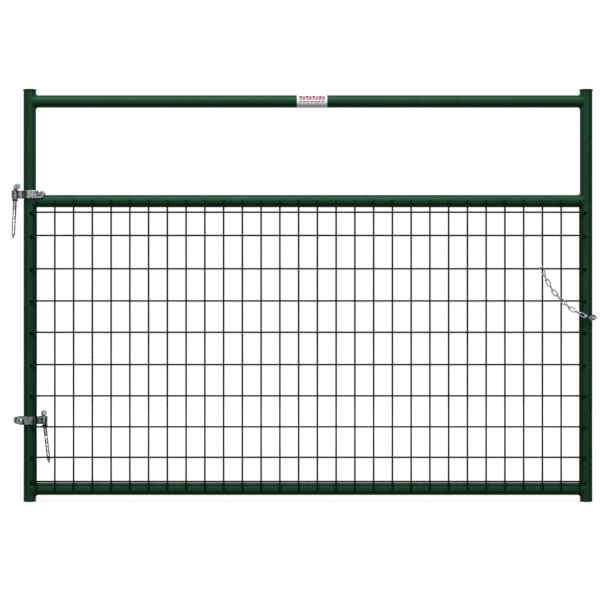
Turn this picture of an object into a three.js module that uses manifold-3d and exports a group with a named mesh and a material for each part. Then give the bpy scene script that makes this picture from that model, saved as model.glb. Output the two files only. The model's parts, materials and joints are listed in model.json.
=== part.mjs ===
// A wire filled gate leaf for livestock, hung on two bolt-on hinge clamps, with its latch chain.
// Millimetres, +Z up. X runs from the hinge line towards the latch side, -Y faces the viewer and
// carries the wire panel. The origin is on the hinge line, level with the feet of the uprights.
import * as THREE from 'three';
import { mergeVertices } from 'three/addons/utils/BufferGeometryUtils.js';
import Module from 'manifold-3d';

const wasm = await Module();
wasm.setup();

// Frame
const GAP = 0.35;
const LEAF_HEIGHT = 1270;
const UPRIGHT_SPACING = 1714.5;
const TUBE_RADIUS = 19.05;
const TUBE_WALL = 1.65;
const TUBE_SIDES = 24;
const RAIL_HEIGHTS = { top_rail: 1233, middle_rail: 925.7, bottom_rail: 39.1 };
const CAP_LIP_RADIUS = 20.8;
const CAP_LIP_HEIGHT = 4.5;
const CAP_PLUG_DEPTH = 14;

// Wire panel
const WIRE = 4.8;
const WELD_SINK = 0.4;
const VERTICAL_WIRES = 30;
const VERTICAL_PITCH = 57.55;
const VERTICAL_FOOT = 40;
const VERTICAL_TOP = 928;
const HORIZONTAL_HEIGHTS = [63.6, 138, 231.7, 326.8, 422.7, 521.9, 618.3, 717, 819.3, 890.6];
const HORIZONTAL_END_INSET = 3.2;

// Label
const LABEL_WIDTH = 93;
const LABEL_HALF_ANGLE = 75;
const LABEL_THICKNESS = 0.4;
const LABEL_OFF_CENTRE = 12.5;

// Hinge clamps: one strap bent round the upright and rolled into a barrel
const HINGE_OFFSET = 45;
const STRAP_WIDTH = 25;
const STRAP_THICKNESS = 3.2;
const STRAP_INNER = TUBE_RADIUS + GAP;
const STRAP_OUTER = STRAP_INNER + STRAP_THICKNESS;
const BARREL_BORE = 8;
const BARREL_OUTER = BARREL_BORE + STRAP_THICKNESS;
const WAIST_HALF = STRAP_THICKNESS + 0.1;
const WAIST_OVERLAP = 1.5;
const EAR_ROUND = STRAP_WIDTH / 2 + 1;
const EAR_LENGTH = 46.5;
const BOLT_REACH = 31.5;
const BOLT_LIFT = 3.2;
const UPPER_CLAMP_HEIGHT = 946;
const LOWER_CLAMP_HEIGHT = 250.5;
const LOWER_CLAMP_TURN = 202;

// Clamp bolts
const BOLT_RADIUS = 3.97;
const BOLT_NECK = 7.9;
const BOLT_HEAD_RADIUS = 9;
const BOLT_HEAD_HEIGHT = 4.4;
const BOLT_TAIL = 5;
const NUT_ACROSS_FLATS = 12.7;
const NUT_HEIGHT = 6.75;

// Lag hooks, measured from the middle of the barrel
const HOOK_PIN_RADIUS = 7.94;
const HOOK_PIN_HEIGHT = 24.2;
const HOOK_PIN_LENGTH = 44;
const HOOK_BEND = 10;
const SHANK_RADIUS = 6.2;
const SHANK_LENGTH = 161;
const SHANK_POINT = 15;
const SHANK_TIP_RADIUS = 1.2;
const SHANK_IN_BEND = 1.8;
const KEEPER_OUTER = 9.2;
const KEEPER_INNER = 6.6;
const KEEPER_HEIGHT = 5;
const KEEPER_DROP = 2;
const UPPER_HOOK_LEAN = 2.7;
const UPPER_HOOK_TURN = 18;
const LOWER_HOOK_LEAN = -6.7;
const LOWER_HOOK_TURN = 13;

// Latch chain
const LINKS = 13;
const LINK_WIRE = 2;
const LINK_INNER_WIDTH = 6;
const LINK_PITCH = 18.6;
const LINK_INNER_LENGTH = LINK_PITCH + GAP;
const STAPLE_WIRE = 2.4;
const STAPLE_BEND = 6;
const STAPLE_LEG = 2.7;
const STAPLE_HEIGHT = 567.5;
const END_HOOK_REACH = 18.2;
const END_HOOK_CLOSE = 6;
const END_HOOK_LIP = 3;
const CAUGHT_WIRE = 7;
const CAUGHT_OFF_CENTRE = 716.5;

const HINGE_X = HINGE_OFFSET;
const LATCH_X = HINGE_OFFSET + UPRIGHT_SPACING;
const CENTRE_X = (HINGE_X + LATCH_X) / 2;

// Materials
const green = new THREE.MeshStandardMaterial({ color: 0x20482e, roughness: 0.35, metalness: 0.1 });
const wireGreen = new THREE.MeshStandardMaterial({ color: 0x0b1a10, roughness: 0.45, metalness: 0.1 });
const zinc = new THREE.MeshStandardMaterial({ color: 0xb4b8ba, roughness: 0.35, metalness: 0.9 });
const black = new THREE.MeshStandardMaterial({ color: 0x141614, roughness: 0.7, metalness: 0 });
const vinyl = new THREE.MeshStandardMaterial({ color: 0xe4e2e3, roughness: 0.5, metalness: 0 });

const radians = THREE.MathUtils.degToRad;

// A closed three.js geometry as a manifold solid
function solid(geometry) {
  const bare = geometry.clone();
  bare.deleteAttribute('normal');
  bare.deleteAttribute('uv');
  const merged = mergeVertices(bare, 1e-4);
  const corners = merged.index.array;
  const kept = [];
  for (let i = 0; i < corners.length; i += 3) {
    const [a, b, c] = corners.slice(i, i + 3);
    if (a !== b && b !== c && c !== a) kept.push(a, b, c);
  }
  const mesh = new wasm.Mesh({
    numProp: 3,
    vertProperties: merged.attributes.position.array,
    triVerts: Uint32Array.from(kept),
  });
  return new wasm.Manifold(mesh);
}

// A manifold solid as a named three.js mesh
function named(name, manifold, material) {
  const { vertProperties, triVerts } = manifold.getMesh();
  const geometry = new THREE.BufferGeometry();
  geometry.setAttribute('position', new THREE.BufferAttribute(vertProperties, 3));
  geometry.setIndex(new THREE.BufferAttribute(triVerts, 1));
  geometry.computeVertexNormals();
  const mesh = new THREE.Mesh(geometry, material);
  mesh.name = name;
  return mesh;
}

// A round bar standing on the XY plane
function post(radius, length, sides = TUBE_SIDES) {
  const geometry = new THREE.CylinderGeometry(radius, radius, length, sides);
  geometry.rotateX(Math.PI / 2);
  geometry.translate(0, 0, length / 2);
  return geometry;
}

function box(low, high) {
  const size = high.map((value, axis) => value - low[axis]);
  const middle = high.map((value, axis) => (value + low[axis]) / 2);
  const geometry = new THREE.BoxGeometry(...size);
  geometry.translate(...middle);
  return geometry;
}

// A solid of revolution about Z, from [radius, height] pairs
function turned(profile, sides = 16) {
  const points = profile.map(([radius, height]) => new THREE.Vector2(radius, height));
  const geometry = new THREE.LatheGeometry(points, sides);
  geometry.rotateX(Math.PI / 2);
  return geometry;
}

// A round bar along a curve
function bar(curve, radius, steps, sides) {
  const section = new THREE.Shape();
  section.absarc(0, 0, radius, 0, 2 * Math.PI);
  const options = { steps, extrudePath: curve, curveSegments: sides / 2, bevelEnabled: false };
  return new THREE.ExtrudeGeometry(section, options);
}

// A quarter bend between two straight runs that meet at the corner
function bend(start, corner, end) {
  const roundness = 0.5523;
  const out = start.clone().lerp(corner, roundness);
  const back = end.clone().lerp(corner, roundness);
  return new THREE.CubicBezierCurve3(start, out, back, end);
}

function point(x, y, z) {
  return new THREE.Vector3(x, y, z);
}

function upright(name, x) {
  const length = LEAF_HEIGHT - CAP_LIP_HEIGHT - GAP;
  const bore = post(TUBE_RADIUS - TUBE_WALL, length + 2);
  bore.translate(0, 0, -1);
  const mesh = named(name, solid(post(TUBE_RADIUS, length)).subtract(solid(bore)), green);
  mesh.position.x = x;
  return mesh;
}

// The rail's ends are coped to the round of the uprights
function rail(name, height) {
  const tube = post(TUBE_RADIUS, UPRIGHT_SPACING);
  const bore = post(TUBE_RADIUS - TUBE_WALL, UPRIGHT_SPACING + 2);
  bore.translate(0, 0, -1);
  tube.rotateY(Math.PI / 2);
  bore.rotateY(Math.PI / 2);
  const cutter = post(TUBE_RADIUS + GAP, 3 * TUBE_RADIUS);
  cutter.translate(0, 0, -1.5 * TUBE_RADIUS);
  let body = solid(tube).subtract(solid(bore)).subtract(solid(cutter));
  cutter.translate(UPRIGHT_SPACING, 0, 0);
  body = body.subtract(solid(cutter));
  const mesh = named(name, body, green);
  mesh.position.set(HINGE_X, 0, height);
  return mesh;
}

// A push-in plug with a thin lip over the tube's end
function cap(name, x) {
  const plug = TUBE_RADIUS - TUBE_WALL - GAP;
  const profile = [
    [0, -CAP_PLUG_DEPTH],
    [plug - 2, -CAP_PLUG_DEPTH],
    [plug, 2 - CAP_PLUG_DEPTH],
    [plug, 0],
    [CAP_LIP_RADIUS, 0],
    [CAP_LIP_RADIUS, CAP_LIP_HEIGHT - 1],
    [CAP_LIP_RADIUS - 1.5, CAP_LIP_HEIGHT],
    [0, CAP_LIP_HEIGHT],
  ];
  const mesh = named(name, solid(turned(profile, TUBE_SIDES)), black);
  mesh.position.set(x, 0, LEAF_HEIGHT - CAP_LIP_HEIGHT);
  return mesh;
}

// Horizontal wires lie on the uprights; vertical wires are welded to their fronts
function wirePanel() {
  const half = WIRE / 2;
  const rear = -TUBE_RADIUS - GAP;
  const front = rear - WIRE + WELD_SINK;
  const left = HINGE_X + HORIZONTAL_END_INSET;
  const right = LATCH_X - HORIZONTAL_END_INSET;
  const wires = HORIZONTAL_HEIGHTS.map((z) => box([left, rear - WIRE, z - half], [right, rear, z + half]));
  for (let i = 0; i < VERTICAL_WIRES; i += 1) {
    const x = CENTRE_X + (i - (VERTICAL_WIRES - 1) / 2) * VERTICAL_PITCH;
    wires.push(box([x - half, front - WIRE, VERTICAL_FOOT], [x + half, front, VERTICAL_TOP]));
  }
  const body = wires.map(solid).reduce((sum, wire) => sum.add(wire));
  return named('wire_panel', body, wireGreen);
}

// A thin curved sticker on the front of the top rail
function label() {
  const inner = TUBE_RADIUS + GAP;
  const outer = inner + LABEL_THICKNESS;
  const from = radians(180 - LABEL_HALF_ANGLE);
  const to = radians(180 + LABEL_HALF_ANGLE);
  const section = new THREE.Shape();
  section.absarc(0, 0, outer, from, to, false);
  section.absarc(0, 0, inner, to, from, true);
  const geometry = new THREE.ExtrudeGeometry(section, {
    depth: LABEL_WIDTH,
    curveSegments: 5,
    bevelEnabled: false,
  });
  geometry.rotateZ(Math.PI / 2);
  geometry.rotateY(Math.PI / 2);
  const mesh = named('label', solid(geometry), vinyl);
  mesh.position.set(CENTRE_X + LABEL_OFF_CENTRE - LABEL_WIDTH / 2, 0, RAIL_HEIGHTS.top_rail);
  return mesh;
}

// The strap with its barrel on the -X side and its ears on the +X side of the upright
function strap(name) {
  const loop = new THREE.Shape();
  loop.moveTo(EAR_LENGTH, -STRAP_OUTER);
  loop.absarc(0, 0, STRAP_OUTER, -Math.PI / 2, Math.PI / 2, true);
  loop.lineTo(EAR_LENGTH, STRAP_OUTER);
  loop.lineTo(EAR_LENGTH, STRAP_INNER);
  loop.absarc(0, 0, STRAP_INNER, Math.PI / 2, (3 * Math.PI) / 2, false);
  loop.lineTo(EAR_LENGTH, -STRAP_INNER);
  const band = new THREE.ExtrudeGeometry(loop, {
    depth: STRAP_WIDTH,
    curveSegments: 9,
    bevelEnabled: false,
  });
  band.translate(0, 0, -STRAP_WIDTH / 2);

  const waist = box(
    [BARREL_BORE + WAIST_OVERLAP - HINGE_OFFSET, -WAIST_HALF, -STRAP_WIDTH / 2],
    [-STRAP_INNER - WAIST_OVERLAP, WAIST_HALF, STRAP_WIDTH / 2],
  );
  const barrel = post(BARREL_OUTER, STRAP_WIDTH);
  barrel.translate(-HINGE_OFFSET, 0, -STRAP_WIDTH / 2);
  const bore = post(BARREL_BORE, STRAP_WIDTH + 2);
  bore.translate(-HINGE_OFFSET, 0, -STRAP_WIDTH / 2 - 1);

  const side = new THREE.Shape();
  side.moveTo(-2 * HINGE_OFFSET, -STRAP_WIDTH);
  side.lineTo(0, -STRAP_WIDTH);
  side.lineTo(0, -EAR_ROUND);
  side.absarc(EAR_LENGTH - EAR_ROUND, 0, EAR_ROUND, -Math.PI / 2, Math.PI / 2);
  side.lineTo(0, EAR_ROUND);
  side.lineTo(0, STRAP_WIDTH);
  side.lineTo(-2 * HINGE_OFFSET, STRAP_WIDTH);
  const rounded = new THREE.ExtrudeGeometry(side, {
    depth: 4 * STRAP_OUTER,
    curveSegments: 6,
    bevelEnabled: false,
  });
  rounded.rotateX(Math.PI / 2);
  rounded.translate(0, 2 * STRAP_OUTER, 0);

  const neck = BOLT_NECK / 2 + GAP;
  const squareHole = box(
    [BOLT_REACH - neck, -STRAP_OUTER - 1, BOLT_LIFT - neck],
    [BOLT_REACH + neck, -STRAP_INNER + 1, BOLT_LIFT + neck],
  );
  const roundHole = post(BOLT_RADIUS + GAP, STRAP_OUTER, 16);
  roundHole.rotateX(-Math.PI / 2);
  roundHole.translate(BOLT_REACH, STRAP_INNER - 1, BOLT_LIFT);

  const body = solid(band)
    .add(solid(waist))
    .add(solid(barrel))
    .subtract(solid(bore))
    .intersect(solid(rounded))
    .subtract(solid(squareHole))
    .subtract(solid(roundHole));
  return named(name, body, zinc);
}

// A carriage bolt through both ears, with its round head to the front and a square neck
function carriageBolt(name) {
  const head = STRAP_OUTER + GAP;
  const tail = -(STRAP_OUTER + GAP + NUT_HEIGHT + BOLT_TAIL);
  const profile = [
    [0, tail],
    [BOLT_RADIUS - 0.8, tail],
    [BOLT_RADIUS, tail + 0.8],
    [BOLT_RADIUS, head],
    [BOLT_HEAD_RADIUS, head],
    [BOLT_HEAD_RADIUS - 0.4, head + 1.2],
    [BOLT_HEAD_RADIUS * 0.72, head + 3.1],
    [BOLT_HEAD_RADIUS * 0.4, head + 4.1],
    [0, head + BOLT_HEAD_HEIGHT],
  ];
  const shaft = turned(profile);
  const half = BOLT_NECK / 2;
  const neck = box([-half, -half, STRAP_INNER], [half, half, head + 1]);
  const body = solid(shaft).add(solid(neck));
  const mesh = named(name, body, zinc);
  mesh.position.set(BOLT_REACH, 0, BOLT_LIFT);
  mesh.rotation.x = Math.PI / 2;
  return mesh;
}

function nut(name) {
  const hexagon = new THREE.CylinderGeometry(1, 1, NUT_HEIGHT, 6);
  const corner = NUT_ACROSS_FLATS / 2 / Math.cos(Math.PI / 6);
  hexagon.scale(corner, 1, corner);
  const hole = new THREE.CylinderGeometry(BOLT_RADIUS + GAP, BOLT_RADIUS + GAP, NUT_HEIGHT + 2, 16);
  const mesh = named(name, solid(hexagon).subtract(solid(hole)), zinc);
  mesh.position.set(BOLT_REACH, STRAP_OUTER + GAP + NUT_HEIGHT / 2, BOLT_LIFT);
  return mesh;
}

// The L-shaped lag hook hanging in the barrel: its pin lies across the top, pointing to -Y
function lagHook(name) {
  const start = point(0, -HOOK_PIN_LENGTH, HOOK_PIN_HEIGHT);
  const bendStart = point(0, -HOOK_BEND, HOOK_PIN_HEIGHT);
  const bendEnd = point(0, 0, HOOK_PIN_HEIGHT - HOOK_BEND);
  const path = new THREE.CurvePath();
  path.add(new THREE.LineCurve3(start, bendStart));
  path.add(bend(bendStart, point(0, 0, HOOK_PIN_HEIGHT), bendEnd));
  const tip = HOOK_PIN_HEIGHT - SHANK_LENGTH;
  const top = HOOK_PIN_HEIGHT - HOOK_BEND + SHANK_IN_BEND;
  const shank = [
    [0, tip],
    [SHANK_TIP_RADIUS, tip + 1],
    [SHANK_RADIUS, tip + SHANK_POINT],
    [SHANK_RADIUS, top],
    [0, top],
  ];
  const body = solid(bar(path, HOOK_PIN_RADIUS, 12, 16)).add(solid(turned(shank)));
  return named(name, body, zinc);
}

// A ring pushed on the shank under the barrel, which keeps the hook in the clamp
function keeperRing(name) {
  const top = -STRAP_WIDTH / 2 - KEEPER_DROP;
  const profile = [
    [KEEPER_INNER, top - KEEPER_HEIGHT],
    [KEEPER_OUTER, top - KEEPER_HEIGHT],
    [KEEPER_OUTER, top],
    [KEEPER_INNER, top],
    [KEEPER_INNER, top - KEEPER_HEIGHT],
  ];
  return named(name, solid(turned(profile)), black);
}

// One clamp with its bolt and nut, and the hook that leans a little in its barrel
function hinge(name, height, turn, flip, hookLean, hookTurn) {
  const clamp = new THREE.Group();
  clamp.position.set(HINGE_X, 0, height);
  clamp.rotation.set(0, 0, radians(turn));
  const upended = new THREE.Group();
  upended.rotation.x = radians(flip);
  upended.add(strap(`${name}_clamp`), carriageBolt(`${name}_clamp_bolt`), nut(`${name}_clamp_nut`));
  clamp.add(upended);

  const hook = new THREE.Group();
  hook.position.set(
    HINGE_X - HINGE_OFFSET * Math.cos(radians(turn)),
    -HINGE_OFFSET * Math.sin(radians(turn)),
    height,
  );
  hook.rotation.set(0, radians(hookLean), 0);
  const turnedHook = new THREE.Group();
  turnedHook.rotation.z = radians(hookTurn);
  turnedHook.add(lagHook(`${name}_hook`), keeperRing(`${name}_keeper_ring`));
  hook.add(turnedHook);
  return [clamp, hook];
}

// A bent bar welded to the outer side of the latch upright; the chain starts on it
function staple() {
  const foot = LATCH_X + TUBE_RADIUS + GAP;
  const knee = foot + STAPLE_LEG;
  const tip = knee + STAPLE_BEND;
  const top = STAPLE_HEIGHT + STAPLE_BEND;
  const bottom = STAPLE_HEIGHT - STAPLE_BEND;
  const path = new THREE.CurvePath();
  path.add(new THREE.LineCurve3(point(foot, 0, top), point(knee, 0, top)));
  path.add(bend(point(knee, 0, top), point(tip, 0, top), point(tip, 0, STAPLE_HEIGHT)));
  path.add(bend(point(tip, 0, STAPLE_HEIGHT), point(tip, 0, bottom), point(knee, 0, bottom)));
  path.add(new THREE.LineCurve3(point(knee, 0, bottom), point(foot, 0, bottom)));
  return named('chain_staple', solid(bar(path, STAPLE_WIRE, 14, 8)), green);
}

// The centre line of one chain link, long along X and lying in the XY plane
function linkOutline() {
  const straight = (LINK_INNER_LENGTH - LINK_INNER_WIDTH) / 2;
  const round = LINK_INNER_WIDTH / 2 + LINK_WIRE;
  const outline = new THREE.CurvePath();
  const corners = [
    [1, -1],
    [1, 1],
    [-1, 1],
    [-1, -1],
  ];
  corners.forEach(([sx, sy], i) => {
    const tip = point(sx * (straight + round), 0, 0);
    const corner = point(sx * (straight + round), sy * round, 0);
    const flank = point(sx * straight, sy * round, 0);
    const leaving = i % 2 === 0;
    outline.add(leaving ? bend(flank, corner, tip) : bend(tip, corner, flank));
    if (!leaving) outline.add(new THREE.LineCurve3(flank, point(-flank.x, flank.y, 0)));
  });
  return outline;
}

function chainLink(name) {
  const ring = new THREE.TubeGeometry(linkOutline(), 20, LINK_WIRE, 6, true);
  return named(name, solid(ring), zinc);
}

// The open end link, with the joint it hangs on at its own origin and its mouth on the -Y side
function endHook(name) {
  const round = LINK_INNER_WIDTH / 2 + LINK_WIRE;
  const low = round - 2 * LINK_WIRE - GAP;
  const lowTip = low - round;
  const highTip = END_HOOK_REACH + round;
  const path = new THREE.CurvePath();
  path.add(new THREE.LineCurve3(point(low + END_HOOK_CLOSE, -round, 0), point(low, -round, 0)));
  path.add(bend(point(low, -round, 0), point(lowTip, -round, 0), point(lowTip, 0, 0)));
  path.add(bend(point(lowTip, 0, 0), point(lowTip, round, 0), point(low, round, 0)));
  path.add(new THREE.LineCurve3(point(low, round, 0), point(END_HOOK_REACH, round, 0)));
  path.add(bend(point(END_HOOK_REACH, round, 0), point(highTip, round, 0), point(highTip, 0, 0)));
  path.add(bend(point(highTip, 0, 0), point(highTip, -round, 0), point(END_HOOK_REACH, -round, 0)));
  const lip = point(END_HOOK_REACH - END_HOOK_LIP, -round, 0);
  path.add(new THREE.LineCurve3(point(END_HOOK_REACH, -round, 0), lip));
  return named(name, solid(bar(path, LINK_WIRE, 26, 8)), zinc);
}

// Turns a piece whose length is along its own X to a direction, lying flat or standing on edge
function aim(mesh, direction, standing) {
  const level = direction.clone().cross(point(0, 0, 1)).normalize();
  const side = standing ? level.clone().cross(direction) : level;
  const normal = direction.clone().cross(side);
  mesh.quaternion.setFromRotationMatrix(new THREE.Matrix4().makeBasis(direction, side, normal));
}

// The chain runs from the staple round the front of the upright and up in front of the panel
function chain() {
  const tip = LATCH_X + TUBE_RADIUS + GAP + STAPLE_LEG + STAPLE_BEND;
  const start = point(tip, 0, STAPLE_HEIGHT);
  const route = new THREE.CatmullRomCurve3([
    start,
    point(LATCH_X + 23, -20.5, 565),
    point(LATCH_X + 4, -32.5, 567),
    point(LATCH_X - 21, -37.5, 577.5),
    point(LATCH_X - 56, -37.5, 597),
    point(LATCH_X - 90, -37.5, 629),
    point(LATCH_X - 113, -37.5, 658),
    point(LATCH_X - 134, -37.5, 698),
  ]);
  const round = LINK_INNER_WIDTH / 2 + LINK_WIRE;
  const half = LINK_INNER_LENGTH / 2 + LINK_WIRE;
  const pieces = [];
  let anchor = start;
  let behind = STAPLE_WIRE + GAP + LINK_WIRE;

  // The next piece pulls on the round end of the last link, in that link's own plane
  function pullOn(last, direction) {
    const along = point(1, 0, 0).applyQuaternion(last.quaternion);
    const normal = point(0, 0, 1).applyQuaternion(last.quaternion);
    const pull = direction.clone().projectOnPlane(normal).normalize();
    const endCentre = last.position.clone().addScaledVector(along, half - round);
    return endCentre.addScaledVector(pull, round);
  }

  route.getSpacedPoints(LINKS).slice(1).forEach((stop, i) => {
    const direction = stop.clone().sub(anchor).normalize();
    if (i > 0) anchor = pullOn(pieces[i - 1], direction);
    const link = chainLink(`chain_link_${String(i + 1).padStart(2, '0')}`);
    link.position.copy(anchor).addScaledVector(direction, half - behind);
    aim(link, direction, i % 2 === 1);
    pieces.push(link);
    behind = 2 * LINK_WIRE + GAP;
    anchor = anchor.clone().addScaledVector(direction, 2 * half - behind);
  });

  const hook = endHook('chain_end_hook');
  const caught = point(CENTRE_X + CAUGHT_OFF_CENTRE, anchor.y, HORIZONTAL_HEIGHTS[CAUGHT_WIRE]);
  const direction = caught.sub(anchor).normalize();
  hook.position.copy(pullOn(pieces[LINKS - 1], direction));
  aim(hook, direction, LINKS % 2 === 1);
  pieces.push(hook);
  return pieces;
}

const gate = new THREE.Group();
gate.add(upright('hinge_upright', HINGE_X), upright('latch_upright', LATCH_X));
for (const [name, height] of Object.entries(RAIL_HEIGHTS)) gate.add(rail(name, height));
gate.add(cap('hinge_upright_cap', HINGE_X), cap('latch_upright_cap', LATCH_X));
gate.add(wirePanel(), label());
gate.add(...hinge('upper', UPPER_CLAMP_HEIGHT, 0, 0, UPPER_HOOK_LEAN, UPPER_HOOK_TURN));
gate.add(...hinge('lower', LOWER_CLAMP_HEIGHT, LOWER_CLAMP_TURN, 180, LOWER_HOOK_LEAN, LOWER_HOOK_TURN));
gate.add(staple(), ...chain());

export default gate;
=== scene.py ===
# A wire filled livestock gate leaf: a green tube frame, a welded wire panel, two zinc hinge clamps
# with lag hooks, and a latch chain. Metres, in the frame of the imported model: X along the leaf,
# -Y to the viewer, Z up.
import json
import math

import bmesh
import bpy
import numpy as np
from mathutils import Matrix, Vector


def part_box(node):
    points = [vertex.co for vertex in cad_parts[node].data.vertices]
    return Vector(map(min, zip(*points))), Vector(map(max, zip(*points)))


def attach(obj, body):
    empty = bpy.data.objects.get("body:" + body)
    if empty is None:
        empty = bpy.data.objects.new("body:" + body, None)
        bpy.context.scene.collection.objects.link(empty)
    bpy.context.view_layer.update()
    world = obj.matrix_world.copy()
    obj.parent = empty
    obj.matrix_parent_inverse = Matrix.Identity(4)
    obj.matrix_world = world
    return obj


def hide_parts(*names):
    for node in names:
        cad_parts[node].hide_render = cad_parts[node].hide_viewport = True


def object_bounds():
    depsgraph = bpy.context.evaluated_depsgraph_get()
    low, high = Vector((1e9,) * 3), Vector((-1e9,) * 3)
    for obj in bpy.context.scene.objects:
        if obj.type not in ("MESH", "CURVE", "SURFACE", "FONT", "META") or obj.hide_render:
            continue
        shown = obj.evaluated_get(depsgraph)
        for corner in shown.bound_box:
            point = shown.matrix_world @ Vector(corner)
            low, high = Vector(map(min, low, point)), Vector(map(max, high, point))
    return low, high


MM = 0.001

# Wire panel
WIRE_RADIUS = 2.7 * MM
PANEL_WIRES = 30
PANEL_PITCH = 57.55 * MM
CROSS_WIRE_HEIGHTS = [63.6, 138, 231.7, 326.8, 422.7, 521.9, 618.3, 717, 819.3, 890.6]

# Tubes and caps
TUBE_WALL = 1.65 * MM
TUBE_SIDES = 96
TUBE_EDGE = 0.4 * MM
TUBE_UNDER_CAP = 0.3 * MM
COPE_RUN = 30 * MM
CAP_LIP = 4.5 * MM
CAP_EDGE = 1.3 * MM
CAP_PLUG_INSET = 3.6 * MM
CAP_PLUG_TAPER = 2 * MM

# Welds
RAIL_BEAD_STEPS = 288
RAIL_BEAD_RADIUS = 1.9 * MM
RAIL_BEAD_EXTRA = 1.3 * MM
RAIL_BEAD_WANDER = 0.35 * MM
RAIL_BEAD_SINK = 0.9 * MM
TACK_RADIUS = 2.3 * MM
TACK_DEPTH = 4.2 * MM
TACK_FROM_WIRE_END = 7 * MM
STAPLE_BEAD_RADIUS = 1.15 * MM
STAPLE_BEAD_RING = 2.5 * MM
STAPLE_BEAD_STEPS = 40

# Label: its sheet, how far it goes round the rail, its mesh and its print
LABEL_SHEET = 0.35 * MM
LABEL_CORNER = 4 * MM
LABEL_REACH = math.radians(74)
LABEL_COLUMNS = 24
LABEL_ROWS = 40
TALL_BARS = 8
LOW_BARS = 7
CRIMSON = (0.15, 0.008, 0.04)
PALE_CRIMSON = (0.34, 0.15, 0.2)

# Hinge clamps: half the strap's thickness, and the bends of its middle line
STRAP_HALF = 1.6 * MM
STRAP_ROUND = 0.8 * MM
HINGE_OFFSET = 45 * MM
UPRIGHT_BEND = 21 * MM
BARREL_BEND = 9.6 * MM
WAIST_LINE = 1.65 * MM
WAIST_FILLET = 4 * MM
EAR_REACH = 46.5 * MM
EAR_ROUND = 12.5 * MM
BOLT_REACH = 31.5 * MM
BOLT_LIFT = 3.2 * MM
EAR_FACE = 22.6 * MM

# Clamp bolts and nuts
BOLT_RADIUS = 3.97 * MM
BOLT_PITCH = 1.41 * MM
BOLT_GROOVE = 0.75 * MM
BOLT_CHAMFER = 0.9 * MM
BOLT_RUN_OUT = 1.2 * MM
BOLT_TAIL = 5.7 * MM
BOLT_SHOULDER = -8 * MM
HEAD_RADIUS = 9 * MM
HEAD_RIM = 0.5 * MM
HEAD_DOME = 3.9 * MM
NECK_HALF = 3.95 * MM
NECK_DEPTH = 3.4 * MM
FACE_GAP = 0.1 * MM
NUT_FLATS = 12.7 * MM
NUT_HEIGHT = 6.75 * MM
NUT_SIDES = 96
NUT_BORE_CHAMFER = 0.5 * MM
NUT_FACE = 0.97

# Lag hooks, measured from the middle of the barrel
PIN_RADIUS = 7.94 * MM
PIN_HEIGHT = 24.2 * MM
PIN_LENGTH = 44 * MM
HOOK_BEND = 10 * MM
SHANK_RADIUS = 6.2 * MM
SHANK_LENGTH = 161 * MM
SHANK_POINT = 15 * MM
SHANK_THREAD = 92 * MM
LAG_PITCH = 4.2 * MM
LAG_GROOVE = 0.85 * MM
LAG_RUN_OUT = 5 * MM
# Millimetres back from the pin's end, and the radius there
PIN_END = ((0, 6.4), (0.5, 7.1), (1.2, 7.6), (2.2, 7.94), (12, 7.94), (24, 7.94))
RING_RADIUS = 7.9 * MM
RING_HALF_WIDTH = 1.3 * MM
RING_HEIGHT = -17 * MM
RING_HALF_HEIGHT = 2.5 * MM
HINGES = (
    {"name": "upper", "turn": 0, "flip": 0, "hook_lean": 2.7, "hook_turn": 18},
    {"name": "lower", "turn": 202, "flip": 180, "hook_lean": -6.7, "hook_turn": 13},
)

# Chain
LINK_WIRE = 2 * MM
LINK_ROUND = 5 * MM
LINK_STRAIGHT = 6.475 * MM
LINKS = 13
LINK_GAP = 0.35 * MM
END_HOOK_REACH = 18.2 * MM
END_HOOK_CLOSE = 6 * MM
END_HOOK_LIP = 3 * MM
STAPLE_WIRE = 2.4 * MM
STAPLE_ROOT = 1.2 * MM

# Light and camera
BACKDROP_RADIUS = 30
FLOOR_SIZE = 40
FLOOR_GREY = 0.14
FLOOR_GLOW = (0.84, 0.98)
SOFTBOX_SIZE = (3.0, 2.0)
KEY_POWER = 400
FILL_POWER = 80
WORLD_SHADES = ((0.0, 1.0), (0.2, 0.45), (0.4, 0.04), (1.0, 0.02))
CAMERA_PLACE = (0.8777, -6.0, 0.6211)
SENSOR_WIDTH = 36
FOCAL_LENGTH = 116.8

X, Y, Z = Vector((1, 0, 0)), Vector((0, 1, 0)), Vector((0, 0, 1))

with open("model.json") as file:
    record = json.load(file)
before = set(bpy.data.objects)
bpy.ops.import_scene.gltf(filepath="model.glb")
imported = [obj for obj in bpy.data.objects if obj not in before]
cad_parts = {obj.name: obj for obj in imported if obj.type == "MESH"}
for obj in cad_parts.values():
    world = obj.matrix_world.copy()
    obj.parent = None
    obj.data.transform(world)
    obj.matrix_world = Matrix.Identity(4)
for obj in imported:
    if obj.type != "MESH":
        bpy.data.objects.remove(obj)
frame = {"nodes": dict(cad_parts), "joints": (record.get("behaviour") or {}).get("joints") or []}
cad_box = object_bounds()


# ---------------------------------------------------------------- materials
def shader(name, colour, roughness, metallic=0.0, **sockets):
    material = bpy.data.materials.new(name)
    material.use_nodes = True
    material.diffuse_color = (*colour, 1)
    surface = material.node_tree.nodes["Principled BSDF"]
    surface.inputs["Base Color"].default_value = (*colour, 1)
    surface.inputs["Roughness"].default_value = roughness
    surface.inputs["Metallic"].default_value = metallic
    for socket, value in sockets.items():
        surface.inputs[socket.replace("_", " ")].default_value = value
    return material, surface


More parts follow.
